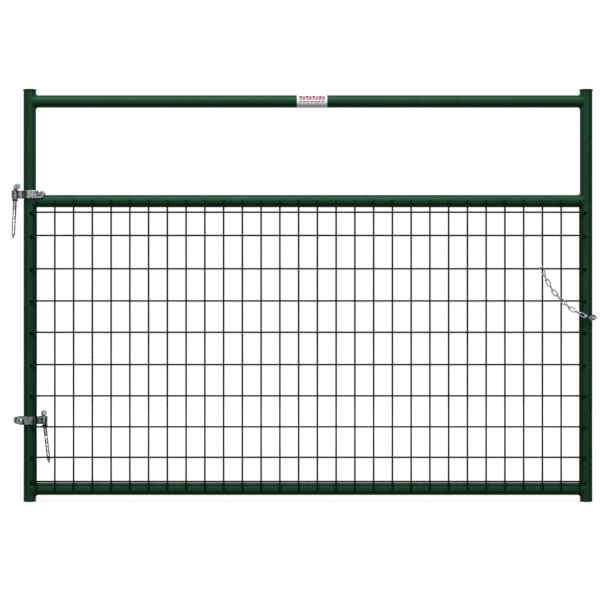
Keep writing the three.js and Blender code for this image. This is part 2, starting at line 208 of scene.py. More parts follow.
def grain(material, scale, detail=4.0, stretch=(1, 1, 1), roughness=0.55):
    """A noise over the piece's own coordinates; scale is in patches to the metre."""
    nodes, links = material.node_tree.nodes, material.node_tree.links
    place = nodes.new("ShaderNodeTexCoord")
    turn = nodes.new("ShaderNodeMapping")
    turn.inputs["Scale"].default_value = stretch
    noise = nodes.new("ShaderNodeTexNoise")
    noise.inputs["Scale"].default_value = scale
    noise.inputs["Detail"].default_value = detail
    noise.inputs["Roughness"].default_value = roughness
    links.new(place.outputs["Object"], turn.inputs["Vector"])
    links.new(turn.outputs["Vector"], noise.inputs["Vector"])
    return noise.outputs["Fac"]


def spangle(material, scale):
    """Flat cells, each with its own grey, as on zinc."""
    nodes, links = material.node_tree.nodes, material.node_tree.links
    place = nodes.new("ShaderNodeTexCoord")
    cells = nodes.new("ShaderNodeTexVoronoi")
    cells.inputs["Scale"].default_value = scale
    split = nodes.new("ShaderNodeSeparateColor")
    links.new(place.outputs["Object"], cells.inputs["Vector"])
    links.new(cells.outputs["Color"], split.inputs["Color"])
    return split.outputs["Red"]


def spread(material, value, low, high, start=0.3, end=0.7):
    """Maps a 0 to 1 pattern to a range of numbers."""
    nodes, links = material.node_tree.nodes, material.node_tree.links
    ranged = nodes.new("ShaderNodeMapRange")
    ranged.inputs["From Min"].default_value = start
    ranged.inputs["From Max"].default_value = end
    ranged.inputs["To Min"].default_value = low
    ranged.inputs["To Max"].default_value = high
    links.new(value, ranged.inputs["Value"])
    return ranged.outputs["Result"]


def tint(material, value, dark, light, low=0.3, high=0.7):
    """Maps a 0 to 1 pattern to colours between two paints."""
    nodes, links = material.node_tree.nodes, material.node_tree.links
    ramp = nodes.new("ShaderNodeValToRGB")
    ramp.color_ramp.elements[0].position = low
    ramp.color_ramp.elements[0].color = (*dark, 1)
    ramp.color_ramp.elements[1].position = high
    ramp.color_ramp.elements[1].color = (*light, 1)
    links.new(value, ramp.inputs["Fac"])
    return ramp.outputs["Color"]


def blend_colours(material, amount, under, over):
    nodes, links = material.node_tree.nodes, material.node_tree.links
    mix = nodes.new("ShaderNodeMix")
    mix.data_type = "RGBA"
    links.new(amount, mix.inputs["Factor"])
    for socket, value in (("A", under), ("B", over)):
        target = [s for s in mix.inputs if s.name == socket and s.type == "RGBA"][0]
        if isinstance(value, tuple):
            target.default_value = (*value, 1)
        else:
            links.new(value, target)
    return [s for s in mix.outputs if s.type == "RGBA"][0]


def join(material, value, surface, socket):
    material.node_tree.links.new(value, surface.inputs[socket])


def relief(material, surface, height, strength, depth, before=None):
    nodes, links = material.node_tree.nodes, material.node_tree.links
    bump = nodes.new("ShaderNodeBump")
    bump.inputs["Strength"].default_value = strength
    bump.inputs["Distance"].default_value = depth
    links.new(height, bump.inputs["Height"])
    if before is not None:
        links.new(before, bump.inputs["Normal"])
    links.new(bump.outputs["Normal"], surface.inputs["Normal"])
    return bump.outputs["Normal"]


def green_powder_coat(name, dark, light, dust, metallic):
    """A stoved green powder coat: orange peel, faint mottling and a few pale scuffs."""
    material, surface = shader(name, light, 0.58, metallic, Specular_IOR_Level=0.06)
    mottle = tint(material, grain(material, 14, 5), dark, light)
    scuffs = spread(material, grain(material, 70, 8, (0.35, 1, 1), 0.7), 0.0, 0.4, 0.68, 0.84)
    join(material, blend_colours(material, scuffs, mottle, dust), surface, "Base Color")
    join(material, spread(material, grain(material, 40, 3), 0.5, 0.6), surface, "Roughness")
    peel = relief(material, surface, grain(material, 620, 2), 0.15, 0.1 * MM)
    relief(material, surface, grain(material, 60, 2), 0.05, 0.3 * MM, peel)
    return material


def zinc_plate(name, dark, light, cells, roughness, wave):
    """Galvanised steel: spangle, dull patches, fine dents and a little white bloom."""
    material, surface = shader(name, light, roughness, 1.0)
    patches = tint(material, spangle(material, cells), dark, light, 0.0, 1.0)
    bloom = spread(material, grain(material, 160, 6), 0.0, 0.55, 0.58, 0.74)
    join(material, blend_colours(material, bloom, patches, (0.5, 0.51, 0.5)), surface, "Base Color")
    dull = spread(material, grain(material, 210, 4), roughness - 0.08, roughness + 0.14)
    join(material, dull, surface, "Roughness")
    dents = relief(material, surface, grain(material, 75, 2), 0.7, wave)
    pits = relief(material, surface, grain(material, 260, 3), 0.4, 0.25 * wave, dents)
    relief(material, surface, grain(material, 1500, 2), 0.2, 0.04 * MM, pits)
    return material


def moulded(name, colour, light, roughness, fine):
    """Plastic or rubber: a fine moulded grain and dusty patches."""
    material, surface = shader(name, colour, roughness, Specular_IOR_Level=0.15)
    join(material, tint(material, grain(material, 90, 5), colour, light), surface, "Base Color")
    dull = spread(material, grain(material, 300, 3), roughness - 0.08, roughness + 0.1)
    join(material, dull, surface, "Roughness")
    relief(material, surface, grain(material, fine, 2), 0.3, 0.06 * MM)
    return material


def printed_vinyl():
    """A white sticker: tall crimson bars over a row of low pale ones, on its own UV map."""
    material, surface = shader("printed_vinyl", (0.72, 0.71, 0.7), 0.38)
    nodes, links = material.node_tree.nodes, material.node_tree.links
    uv = nodes.new("ShaderNodeUVMap")
    uv.uv_map = "print"
    split = nodes.new("ShaderNodeSeparateXYZ")
    links.new(uv.outputs["UV"], split.inputs["Vector"])

    def inside(value, low, high):
        above = nodes.new("ShaderNodeMath")
        above.operation = "GREATER_THAN"
        below = nodes.new("ShaderNodeMath")
        below.operation = "LESS_THAN"
        both = nodes.new("ShaderNodeMath")
        both.operation = "MULTIPLY"
        links.new(value, above.inputs[0])
        links.new(value, below.inputs[0])
        above.inputs[1].default_value = low
        below.inputs[1].default_value = high
        links.new(above.outputs[0], both.inputs[0])
        links.new(below.outputs[0], both.inputs[1])
        return both.outputs[0]

    def bar(across, up):
        both = nodes.new("ShaderNodeMath")
        both.operation = "MULTIPLY"
        links.new(inside(split.outputs["X"], *across), both.inputs[0])
        links.new(inside(split.outputs["Y"], *up), both.inputs[1])
        return both.outputs[0]

    paper = tint(material, grain(material, 50, 4), (0.66, 0.65, 0.64), (0.76, 0.75, 0.745))
    colour = paper
    for i in range(TALL_BARS):
        start = 0.07 + 0.109 * i
        top = 0.87 - 0.05 * (i % 2)
        tall = bar((start, start + 0.1), (0.57, top))
        colour = blend_colours(material, tall, colour, CRIMSON)
    for i in range(LOW_BARS):
        start = 0.08 + 0.122 * i
        low = bar((start, start + 0.09), (0.41, 0.51))
        colour = blend_colours(material, low, colour, PALE_CRIMSON)
    join(material, colour, surface, "Base Color")
    join(material, spread(material, grain(material, 120, 3), 0.32, 0.5), surface, "Roughness")
    relief(material, surface, grain(material, 260, 3), 0.2, 0.08 * MM)
    return material


frame_green = green_powder_coat(
    "frame_green", (0.0095, 0.044, 0.0195), (0.012, 0.05, 0.0225), (0.035, 0.08, 0.055), 0.42
)
# The wires' paint is the frame's green darkened nearly to black. This is painted shade: it stands
# in for the shade and dark outline that make the thin wires look black.
wire_green_painted_shade = green_powder_coat(
    "wire_green_painted_shade", (0.002, 0.009, 0.0045), (0.003, 0.013, 0.006), (0.015, 0.035, 0.025), 0.1
)
strap_zinc = zinc_plate("strap_zinc", (0.13, 0.135, 0.135), (0.56, 0.57, 0.57), 300, 0.24, 1.6 * MM)
hook_zinc = zinc_plate("hook_zinc", (0.34, 0.35, 0.35), (0.66, 0.67, 0.67), 300, 0.28, 0.5 * MM)
bolt_zinc = zinc_plate("bolt_zinc", (0.24, 0.25, 0.26), (0.44, 0.45, 0.46), 500, 0.14, 0.15 * MM)
chain_zinc = zinc_plate("chain_zinc", (0.45, 0.46, 0.46), (0.8, 0.81, 0.8), 380, 0.26, 0.3 * MM)
cap_plastic = moulded("cap_plastic", (0.003, 0.004, 0.003), (0.008, 0.009, 0.008), 0.5, 1400)
ring_rubber = moulded("ring_rubber", (0.009, 0.009, 0.009), (0.024, 0.024, 0.023), 0.66, 2200)
label_vinyl = printed_vinyl()


# ---------------------------------------------------------------- mesh tools
def loft(rings, loop=False):
    """Quads between rings of the same count; the ends are closed, or joined when it is a loop."""
    sides = len(rings[0])
    points = [tuple(p) for ring in rings for p in ring]
    faces = []
    for i in range(len(rings) if loop else len(rings) - 1):
        near, far = i * sides, (i + 1) % len(rings) * sides
        for k in range(sides):
            after = (k + 1) % sides
            faces.append((near + k, near + after, far + after, far + k))
    if not loop:
        faces.append(tuple(range(sides)))
        faces.append(tuple(range((len(rings) - 1) * sides, len(rings) * sides)))
    return points, faces


def piece(name, body, shapes, material, replaced=(), place=None, crease=38):
    """One mesh from several closed shapes, on a body, standing for CAD nodes."""
    mesh = bpy.data.meshes.new(name)
    points, faces = [], []
    for shape_points, shape_faces in shapes:
        start = len(points)
        points += shape_points
        faces += [tuple(start + k for k in face) for face in shape_faces]
    mesh.from_pydata(points, [], faces)
    return settle(name, body, mesh, [material], replaced, place, crease)


def settle(name, body, mesh, materials, replaced=(), place=None, crease=38):
    """Faces out, smooth with crisp edges, placed, and riding on its body."""
    if place is not None:
        mesh.transform(place)
    work = bmesh.new()
    work.from_mesh(mesh)
    bmesh.ops.remove_doubles(work, verts=work.verts, dist=1e-7)
    bmesh.ops.recalc_face_normals(work, faces=work.faces)
    work.to_mesh(mesh)
    work.free()
    mesh.shade_smooth()
    mesh.set_sharp_from_angle(angle=math.radians(crease))
    mesh.name = name
    if not mesh.materials:
        for material in materials:
            mesh.materials.append(material)
    built = bpy.data.objects.new(name, mesh)
    bpy.context.scene.collection.objects.link(built)
    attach(built, body)
    if replaced:
        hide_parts(*replaced)
    return built


def circle(radius, sides):
    return [
        (radius * math.cos(2 * math.pi * k / sides), radius * math.sin(2 * math.pi * k / sides))
        for k in range(sides)
    ]


def turned(profile, sides):
    """Rings about Z from radius and height pairs."""
    return [
        [Vector((x, y, height)) for x, y in circle(radius, sides)]
        for radius, height in profile
    ]


def arc(centre, radius, start, end, steps):
    """Points of an arc in the XY plane; angles in degrees."""
    return [
        Vector((
            centre[0] + radius * math.cos(math.radians(start + (end - start) * k / steps)),
            centre[1] + radius * math.sin(math.radians(start + (end - start) * k / steps)),
            0,
        ))
        for k in range(steps + 1)
    ]


def sweep(path, up, section_at, closed=False):
    """Rings across a flat path; up is square to the path's plane."""
    rings = []
    for i, spot in enumerate(path):
        before = path[i - 1] if i or closed else spot
        after = path[(i + 1) % len(path)] if i < len(path) - 1 or closed else spot
        side = up.cross(after - before).normalized()
        rings.append([spot + side * a + up * b for a, b in section_at(i)])
    return rings


def middle(node):
    low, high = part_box(node)
    return (low + high) / 2


# ---------------------------------------------------------------- node trees for what repeats
def first_output(node):
    return [socket for socket in node.outputs if socket.enabled][0]


class Tree:
    """A geometry node tree with named inputs and short ways to add and link nodes."""

    def __init__(self, name, inputs):
        self.group = bpy.data.node_groups.new(name, "GeometryNodeTree")
        face = self.group.interface
        face.new_socket("Geometry", in_out="INPUT", socket_type="NodeSocketGeometry")
        face.new_socket("Geometry", in_out="OUTPUT", socket_type="NodeSocketGeometry")
        for label, kind in inputs.items():
            face.new_socket(label, in_out="INPUT", socket_type="NodeSocket" + kind)
        self.given = self.group.nodes.new("NodeGroupInput")
        self.out = self.group.nodes.new("NodeGroupOutput")

    def add(self, kind, settings=(), **values):
        node = self.group.nodes.new(kind)
        for key, value in dict(settings).items():
            setattr(node, key, value)
        for key, value in values.items():
            self.put(node, key.replace("_", " "), value)
        return node

    def put(self, node, key, value):
        if key.isdigit():
            target = node.inputs[int(key)]
        else:
            target = [s for s in node.inputs if s.name == key and s.enabled][0]
        if isinstance(value, str):
            value = self.given.outputs[value]
        if isinstance(value, bpy.types.Node):
            value = first_output(value)
        if isinstance(value, bpy.types.NodeSocket):
            self.group.links.new(value, target)
        else:
            target.default_value = value

    def maths(self, operation, first, second=0.0):
        node = self.add("ShaderNodeMath", {"operation": operation})
        self.put(node, "0", first)
        self.put(node, "1", second)
        return node.outputs[0]

    def end(self, geometry):
        real = self.add("GeometryNodeRealizeInstances", Geometry=geometry)
        painted = self.add("GeometryNodeSetMaterial", Geometry=real, Material="Material")
        self.put(self.out, "Geometry", painted)
        return self.group


def grow(group, seed, values):
    """The plain mesh that a tree makes from a seed mesh and its named inputs."""
    carrier = bpy.data.objects.new("carrier", seed)
    bpy.context.scene.collection.objects.link(carrier)
    modifier = carrier.modifiers.new("grow", "NODES")
    modifier.node_group = group
    for socket in group.interface.items_tree:
        if socket.in_out == "INPUT" and socket.name in values:
            modifier[socket.identifier] = values[socket.name]
    bpy.context.view_layer.update()
    depsgraph = bpy.context.evaluated_depsgraph_get()
    mesh = bpy.data.meshes.new_from_object(carrier.evaluated_get(depsgraph))
    carrier.modifiers.remove(modifier)
    bpy.data.objects.remove(carrier)
    return mesh


def seed_mesh(points, edges=(), **attributes):
    mesh = bpy.data.meshes.new("seed")
    mesh.from_pydata([tuple(p) for p in points], list(edges), [])
    for name, values in attributes.items():
        mesh.attributes.new(name, "FLOAT", "POINT").data.foreach_set("value", values)
    return mesh


def panel_tree():
    """Upright wires side by side, cross wires behind them, and a weld wherever two touch."""
    t = Tree("panel_wires", {
        "Wires": "Int", "Pitch": "Float", "First": "Float", "Foot": "Float", "Top": "Float",
        "Left": "Float", "Right": "Float", "Radius": "Float", "Front": "Float", "Rear": "Float",
        "Seed": "Int", "Material": "Material",
    })
    section = t.add("GeometryNodeCurvePrimitiveCircle", Resolution=14, Radius="Radius")

    def wire(start, end):
        line = t.add("GeometryNodeCurvePrimitiveLine", Start=start, End=end)
        return t.add("GeometryNodeCurveToMesh", Curve=line, Profile_Curve=section, Fill_Caps=True)

    def at(x=0.0, y=0.0, z=0.0):
        return t.add("ShaderNodeCombineXYZ", X=x, Y=y, Z=z)

    row = t.add(
        "GeometryNodeMeshLine", Count="Wires", Start_Location=at("First"), Offset=at("Pitch"),
    )
    standing = wire(at(0.0, "Front", "Foot"), at(0.0, "Front", "Top"))
    uprights = t.add("GeometryNodeInstanceOnPoints", Points=row, Instance=standing)
    lying = wire(at("Left", "Rear"), at("Right", "Rear"))
    crossing = t.add("GeometryNodeInstanceOnPoints", Points="Geometry", Instance=lying)

    between = t.maths("MULTIPLY", t.maths("ADD", "Front", "Rear"), 0.5)
    rows = t.add("GeometryNodeInstanceOnPoints", Points="Geometry", Instance=row)
    crosses = t.add("GeometryNodeRealizeInstances", Geometry=rows)
    lifted = t.add("GeometryNodeSetPosition", Geometry=crosses, Offset=at(0.0, between))
    spot = t.add("GeometryNodeMeshUVSphere", Segments=8, Rings=5, Radius=1.0)
    size = t.add("FunctionNodeRandomValue", Min=1.1, Max=1.3, Seed="Seed")
    across = t.maths("MULTIPLY", "Radius", size)
    shape = at(across, "Radius", across)
    welds = t.add("GeometryNodeInstanceOnPoints", Points=lifted, Instance=spot, Scale=shape)
    joined = t.add("GeometryNodeJoinGeometry")
    for part in (uprights, crossing, welds):
        t.group.links.new(part.outputs[0], joined.inputs[0])
    smooth = t.add("GeometryNodeSetShadeSmooth", Geometry=joined)
    return t.end(smooth)


def tack_tree():
    """A lumpy tack weld at each point of the seed."""
    t = Tree("tack_welds", {
        "Radius": "Float", "Depth": "Float", "Seed": "Int", "Material": "Material",
    })
    spot = t.add("GeometryNodeMeshUVSphere", Segments=10, Rings=7, Radius=1.0)
    wide = t.add("FunctionNodeRandomValue", Min=0.85, Max=1.25, Seed="Seed")
    tall = t.add("FunctionNodeRandomValue", Min=0.85, Max=1.25, Seed=t.maths("ADD", "Seed", 1.0))
    size = t.add(
        "ShaderNodeCombineXYZ",
        X=t.maths("MULTIPLY", "Radius", wide),
        Y="Depth",
        Z=t.maths("MULTIPLY", "Radius", tall),
    )
    tacks = t.add("GeometryNodeInstanceOnPoints", Points="Geometry", Instance=spot, Scale=size)
    return t.end(t.add("GeometryNodeSetShadeSmooth", Geometry=tacks))


def bead_tree():
    """A round run along the seed's lines, as thick as its 'bead' attribute, with weld ripples."""
    t = Tree("bead", {
        "Ripple": "Float", "Ripple Step": "Float", "Sides": "Int", "Material": "Material",
    })
    thick = t.add("GeometryNodeInputNamedAttribute", {"data_type": "FLOAT"}, Name="")
    thick.inputs["Name"].default_value = "bead"
    wave = t.maths("SINE", t.maths("MULTIPLY", t.add("GeometryNodeInputIndex"), "Ripple Step"))
    swell = t.maths("ADD", t.maths("MULTIPLY", wave, "Ripple"), 1.0)
    line = t.add("GeometryNodeMeshToCurve", Mesh="Geometry")
    section = t.add("GeometryNodeCurvePrimitiveCircle", Resolution="Sides", Radius=1.0)
    size = t.maths("MULTIPLY", thick, swell)
    run = t.add(
        "GeometryNodeCurveToMesh", Curve=line, Profile_Curve=section, Scale=size, Fill_Caps=True,
    )
    return t.end(t.add("GeometryNodeSetShadeSmooth", Geometry=run))


def thread_tree():
    """Cuts a screw thread in a shank that stands along Z, between two heights."""
    t = Tree("screw_thread", {
        "Pitch": "Float", "Depth": "Float", "From": "Float", "To": "Float", "Run Out": "Float",
        "Material": "Material",
    })
    here = t.add("ShaderNodeSeparateXYZ", Vector=t.add("GeometryNodeInputPosition"))
    x, y, z = here.outputs
    around = t.maths("DIVIDE", t.maths("ARCTAN2", y, x), 2 * math.pi)
    climb = t.maths("FRACT", t.maths("ADD", t.maths("DIVIDE", z, "Pitch"), around))
    from_crest = t.maths("ABSOLUTE", t.maths("SUBTRACT", climb, 0.5))
    ridge = t.maths("SUBTRACT", 1.0, t.maths("MULTIPLY", from_crest, 3.2))
    groove = t.maths("SUBTRACT", 1.0, t.maths("MAXIMUM", ridge, 0.0))

    def fade(value):
        low = t.add("ShaderNodeClamp", Value=t.maths("DIVIDE", value, "Run Out"))
        return low.outputs[0]

    start = fade(t.maths("SUBTRACT", z, "From"))
    along = t.maths("MULTIPLY", start, fade(t.maths("SUBTRACT", "To", z)))
    inward = t.maths("MULTIPLY", "Depth", -1.0)
    depth = t.maths("MULTIPLY", t.maths("MULTIPLY", groove, along), inward)
    outward = t.add("ShaderNodeVectorMath", {"operation": "NORMALIZE"})
    t.put(outward, "0", t.add("ShaderNodeCombineXYZ", X=x, Y=y))
    shift = t.add("ShaderNodeVectorMath", {"operation": "SCALE"})
    t.put(shift, "0", outward)
    t.put(shift, "Scale", depth)
    cut = t.add("GeometryNodeSetPosition", Geometry="Geometry", Offset=shift)
    return t.end(cut)


panel_wires = panel_tree()
tack_welds = tack_tree()
bead = bead_tree()
screw_thread = thread_tree()


# ---------------------------------------------------------------- frame
def upright_tube(node):
    low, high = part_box(node)
    centre = middle(node)
    outer = (high.x - low.x) / 2
    inner = outer - TUBE_WALL
    top = high.z + TUBE_UNDER_CAP
    profile = [
        (outer - TUBE_EDGE, low.z),
        (outer, low.z + TUBE_EDGE),
        (outer, top),
        (inner, top),
        (inner, low.z + TUBE_EDGE),
        (inner + TUBE_EDGE, low.z),
    ]
    shape = loft(turned(profile, TUBE_SIDES), loop=True)
    place = Matrix.Translation((centre.x, centre.y, 0))
    piece(node + "_tube", "leaf", [shape], frame_green, [node], place)


def rail_tube(node):
    """A rail whose ends are coped to the round of the uprights."""
    low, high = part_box(node)
    outer = (high.z - low.z) / 2
    left, right = middle("hinge_upright").x, middle("latch_upright").x
    height = middle(node).z

    def ring(radius, x, cope):
        around = circle(radius, TUBE_SIDES)
        return [
            Vector((x + cope * math.sqrt(max(outer ** 2 - a ** 2, 0)), a, height + b))
            for a, b in around
        ]

    inner = outer - TUBE_WALL
    rings = [
        ring(outer, left, 1), ring(outer, left + COPE_RUN, 0),
        ring(outer, right - COPE_RUN, 0), ring(outer, right, -1),
        ring(inner, right, -1), ring(inner, right - COPE_RUN, 0),
        ring(inner, left + COPE_RUN, 0), ring(inner, left, 1),
    ]
    piece(node + "_tube", "leaf", [loft(rings, loop=True)], frame_green, [node])


def rail_welds():
    """One bead round each end of each rail, in the corner between the two tubes."""
    radius = middle("hinge_upright").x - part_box("hinge_upright")[0].x
    points, edges, sizes = [], [], []
    for node in ("top_rail", "middle_rail", "bottom_rail"):
        height = middle(node).z
        for post, facing in (("hinge_upright", 1), ("latch_upright", -1)):
            start = len(points)
            for k in range(RAIL_BEAD_STEPS):
                turn = 2 * math.pi * k / RAIL_BEAD_STEPS
                corner = abs(math.cos(turn))
                reach = radius - (1 - corner) * RAIL_BEAD_SINK
                wander = RAIL_BEAD_WANDER * math.sin(5 * turn + height * 90)
                points.append(Vector((
                    middle(post).x + facing * (radius * corner + wander + 0.2 * MM),
                    reach * math.sin(turn),
                    height + reach * math.cos(turn),
                )))
                sizes.append(RAIL_BEAD_RADIUS + RAIL_BEAD_EXTRA * corner)
                edges.append((start + k, start + (k + 1) % RAIL_BEAD_STEPS))
    values = {"Ripple": 0.07, "Ripple Step": 1.5, "Sides": 12, "Material": frame_green}
    mesh = grow(bead, seed_mesh(points, edges, bead=sizes), values)
    settle("rail_weld_beads", "leaf", mesh, [frame_green], crease=60)


def end_cap(node):
    low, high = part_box(node)
    centre = middle(node)
    lip = (high.x - low.x) / 2
    seat = high.z - CAP_LIP
    plug = lip - CAP_PLUG_INSET
    profile = [
        (plug - CAP_PLUG_TAPER, low.z),
        (plug, low.z + CAP_PLUG_TAPER),
        (plug, seat),
        (lip - TUBE_EDGE, seat),
        (lip, seat + TUBE_EDGE),
        (lip, high.z - CAP_EDGE),
    ]
    for k in range(1, 7):
        turn = math.radians(15 * k)
        radius = lip - CAP_EDGE * (1 - math.cos(turn))
        profile.append((radius, high.z - CAP_EDGE * (1 - math.sin(turn)) - 0.1 * MM))
    profile += [(lip * 0.7, high.z - 0.03 * MM), (lip * 0.35, high.z), (0.4 * MM, high.z)]
    place = Matrix.Translation((centre.x, centre.y, 0))
    shapes = [loft(turned(profile, 64))]
    piece(node + "_plug", "leaf", shapes, cap_plastic, [node], place, 50)


def wire_panel():
    low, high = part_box("wire_panel")
    rear = high.y - WIRE_RADIUS
    front = low.y + WIRE_RADIUS
    first = middle("wire_panel").x - (PANEL_WIRES - 1) / 2 * PANEL_PITCH
    heights = [h * MM for h in CROSS_WIRE_HEIGHTS]
    values = {
        "Wires": PANEL_WIRES, "Pitch": PANEL_PITCH, "First": first,
        "Foot": low.z, "Top": high.z, "Left": low.x, "Right": high.x,
        "Radius": WIRE_RADIUS, "Front": front, "Rear": rear, "Seed": 4, "Material": wire_green_painted_shade,
    }
    mesh = grow(panel_wires, seed_mesh([(0, 0, h) for h in heights]), values)
    settle("wire_panel_mesh", "leaf", mesh, [wire_green_painted_shade], ["wire_panel"], crease=50)

    rail_tacks = []
    for node in ("middle_rail", "bottom_rail"):
        for i in range(PANEL_WIRES):
            rail_tacks.append((first + i * PANEL_PITCH, rear + 0.2 * MM, middle(node).z))
    ends = (low.x + TACK_FROM_WIRE_END, high.x - TACK_FROM_WIRE_END)
    side_tacks = [(x, rear + 2.4 * MM, h) for h in heights for x in ends]
    # The tack welds take the same darkened wire paint, with its painted shade.
    values = {"Radius": TACK_RADIUS, "Depth": TACK_DEPTH, "Seed": 9, "Material": wire_green_painted_shade}
    mesh = grow(tack_welds, seed_mesh(rail_tacks + side_tacks), values)
    settle("wire_tack_welds", "leaf", mesh, [wire_green_painted_shade], crease=60)


def rail_label():
    """A thin sticker round the front of the top rail, with a UV map for its print."""
    low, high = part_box("label")
    centre = middle("top_rail")
    outer = centre.y - low.y
    inner = outer - LABEL_SHEET
    across, around = LABEL_COLUMNS, LABEL_ROWS
    points, faces = [], []
    for radius in (outer, inner):
        for j in range(around + 1):
            turn = LABEL_REACH * (2 * j / around - 1)
            edge = (LABEL_REACH - abs(turn)) * radius
            inset = 0.0
            if edge < LABEL_CORNER:
                rise = max(LABEL_CORNER ** 2 - (LABEL_CORNER - edge) ** 2, 0)
                inset = LABEL_CORNER - math.sqrt(rise)
            y, z = centre.y - radius * math.cos(turn), centre.z + radius * math.sin(turn)
            for i in range(across + 1):
                u = i / across
                x = low.x + inset + (high.x - low.x - 2 * inset) * u
                points.append((x, y, z))
    row = across + 1
    layer = row * (around + 1)
    for side in (0, layer):
        for j in range(around):
            for i in range(across):
                k = side + j * row + i
                faces.append((k, k + 1, k + row + 1, k + row))
    rim = list(range(row))
    rim += [j * row + across for j in range(1, around + 1)]
    rim += [around * row + i for i in range(across - 1, -1, -1)]
    rim += [j * row for j in range(around - 1, 0, -1)]
    for k, start in enumerate(rim):
        end = rim[(k + 1) % len(rim)]
        faces.append((start, end, end + layer, start + layer))
    sticker = piece("rail_label", "leaf", [(points, faces)], label_vinyl, ["label"])
    mesh = sticker.data
    print_map = mesh.uv_layers.new(name="print")
    for loop in mesh.loops:
        spot = mesh.vertices[loop.vertex_index].co
        turn = math.atan2(spot.z - centre.z, centre.y - spot.y)
        across = (spot.x - low.x) / (high.x - low.x)
        print_map.data[loop.index].uv = (across, 0.5 + turn / LABEL_REACH / 2)


for upright in ("hinge_upright", "latch_upright"):
    upright_tube(upright)
    end_cap(upright + "_cap")
for rail in ("top_rail", "middle_rail", "bottom_rail"):
    rail_tube(rail)
rail_welds()
wire_panel()
rail_label()


# ---------------------------------------------------------------- hinge clamps
def clamp_line():
    """The middle line of the strap: front ear, round the upright, waist, barrel and back."""
    reach = UPRIGHT_BEND + WAIST_FILLET
    lift = WAIST_LINE + WAIST_FILLET
    waist_x = -math.sqrt(reach ** 2 - lift ** 2)
    leave = math.degrees(math.atan2(lift, -waist_x))
    barrel_reach = BARREL_BEND + WAIST_FILLET
    spread_x = math.sqrt(barrel_reach ** 2 - lift ** 2)
    barrel_x = -HINGE_OFFSET + spread_x
    enter = math.degrees(math.atan2(lift, spread_x))
    ear = []
    for k in range(30):
        turn = math.radians(90 * k / 30)
        reached = EAR_REACH - EAR_ROUND * (1 - math.sin(turn) * 0.999)
        ear.append(Vector((reached, -UPRIGHT_BEND, 0)))
    ear.reverse()
    front = ear + [Vector((22 * MM, -UPRIGHT_BEND, 0)), Vector((10 * MM, -UPRIGHT_BEND, 0))]
    front += arc((0, 0), UPRIGHT_BEND, -90, -180 + leave, 40)
    front += arc((waist_x, -lift), WAIST_FILLET, leave, 90, 10)
    front += arc((barrel_x, -lift), WAIST_FILLET, 90, 180 - enter, 10)
    half_barrel = arc((-HINGE_OFFSET, 0), BARREL_BEND, -enter, -180, 36)[1:]
    front += half_barrel
    back = [Vector((p.x, -p.y, 0)) for p in reversed(front[:-1])]
    return front + back


def strap(name, place):
    """A flat bar bent round the upright and rolled into the barrel, with round ears."""
    line = clamp_line()
    low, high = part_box(name + "_clamp")
    half_width = (high.z - low.z) / 2
    round_from = EAR_REACH - half_width

    def section(i):
        over = line[i].x - round_from
        half = half_width
        if over > 0:
            half = math.sqrt(max(half_width ** 2 - over ** 2, (0.5 * MM) ** 2))
        soft = min(STRAP_ROUND, half * 0.5)
        outline = []
        for sign_a, sign_b, start in ((1, 1, 0), (-1, 1, 90), (-1, -1, 180), (1, -1, 270)):
            for k in range(4):
                turn = math.radians(start + 30 * k)
                outline.append((
                    sign_a * (STRAP_HALF - soft) + soft * math.cos(turn),
                    sign_b * (half - soft) + soft * math.sin(turn),
                ))
        return outline

    piece(
        name + "_strap", name + "_clamp", [loft(sweep(line, Z, section))],
        strap_zinc, [name + "_clamp"], place, 42,
    )


def carriage_bolt(name, place):
    """A domed head to the front, a square neck, and a thread at the nut's end."""
    node = name + "_clamp_bolt"
    head = EAR_FACE + FACE_GAP
    tail = -(EAR_FACE + NUT_HEIGHT + BOLT_TAIL)
    dome = [(HEAD_RADIUS, head)]
    for k in range(1, 12):
        turn = math.radians(8 * k)
        dome.append((HEAD_RADIUS * math.cos(turn), head + HEAD_RIM + HEAD_DOME * math.sin(turn)))
    dome.append((0.3 * MM, head + HEAD_RIM + HEAD_DOME))
    corners = ((1, 1), (-1, 1), (-1, -1), (1, -1))
    neck = [
        [Vector((sx * NECK_HALF, sy * NECK_HALF, z)) for sx, sy in corners]
        for z in (EAR_FACE - NECK_DEPTH, head)
    ]
    start = tail + BOLT_CHAMFER
    shaft = [(BOLT_RADIUS - BOLT_CHAMFER, tail), (BOLT_RADIUS, start)]
    steps = int((BOLT_SHOULDER - tail) / (BOLT_PITCH / 6))
    for k in range(1, steps + 1):
        shaft.append((BOLT_RADIUS, start + (BOLT_SHOULDER - start) * k / steps))
    shaft.append((BOLT_RADIUS, head))
    points, faces = loft(turned(shaft, 28))
    seed = bpy.data.meshes.new("seed")
    seed.from_pydata(points, [], faces)
    values = {
        "Pitch": BOLT_PITCH, "Depth": BOLT_GROOVE, "From": tail + 0.4 * MM, "To": BOLT_SHOULDER,
        "Run Out": BOLT_RUN_OUT, "Material": bolt_zinc,
    }
    threaded = grow(screw_thread, seed, values)
    shapes = [
        loft(turned(dome, 48)),
        loft(neck),
        ([tuple(v.co) for v in threaded.vertices], [tuple(p.vertices) for p in threaded.polygons]),
    ]
    lying = Matrix.Translation((BOLT_REACH, 0, BOLT_LIFT)) @ Matrix.Rotation(math.pi / 2, 4, "X")
    piece(node + "_carriage", name + "_clamp", shapes, bolt_zinc, [node], place @ lying, 32)


